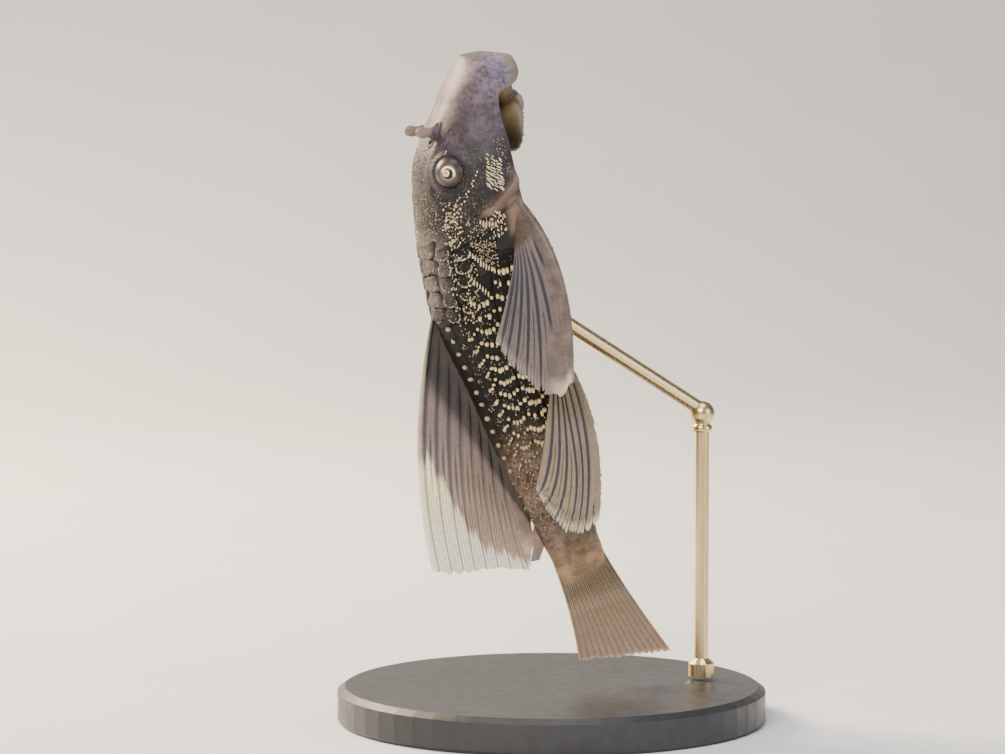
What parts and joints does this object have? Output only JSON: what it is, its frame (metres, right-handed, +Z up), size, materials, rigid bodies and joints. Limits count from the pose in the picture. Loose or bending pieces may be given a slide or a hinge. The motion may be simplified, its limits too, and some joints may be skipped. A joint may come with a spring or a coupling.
{
  "type": "bristlenose pleco",
  "caption": "Still, life-size model of a young bristlenose pleco climbing head up, fins spread, held by a small rod display stand.",
  "frame": {"origin": "centre of the underside of the stand's base", "axes": "+Z up, towards the fish's head; +X towards its belly and the stand's post; the fish's right side faces -Y"},
  "size_m": [0.036, 0.036, 0.056],
  "materials": {
    "skin": "matte",
    "lip": "satin",
    "fin": "satin",
    "eye": "gloss",
    "stand_dark": "satin",
    "stand_metal": "brushed"
  },
  "bodies": {
    "root": {"head": "skin", "trunk": "skin", "tail": "skin", "mouth_disc": "lip", "barbel_left": "lip", "barbel_right": "lip", "nostril_flap_left": "lip", "nostril_flap_right": "lip", "eye_left": "eye", "eye_right": "eye", "dorsal_fin": "fin", "adipose_fin": "fin", "caudal_fin": "fin", "anal_fin": "fin", "pectoral_fin_left": "fin", "pectoral_fin_right": "fin", "pelvic_fin_left": "fin", "pelvic_fin_right": "fin", "stand_base": "stand_dark", "stand_post": "stand_metal", "stand_arm": "stand_metal"}
  },
  "joints": []
}
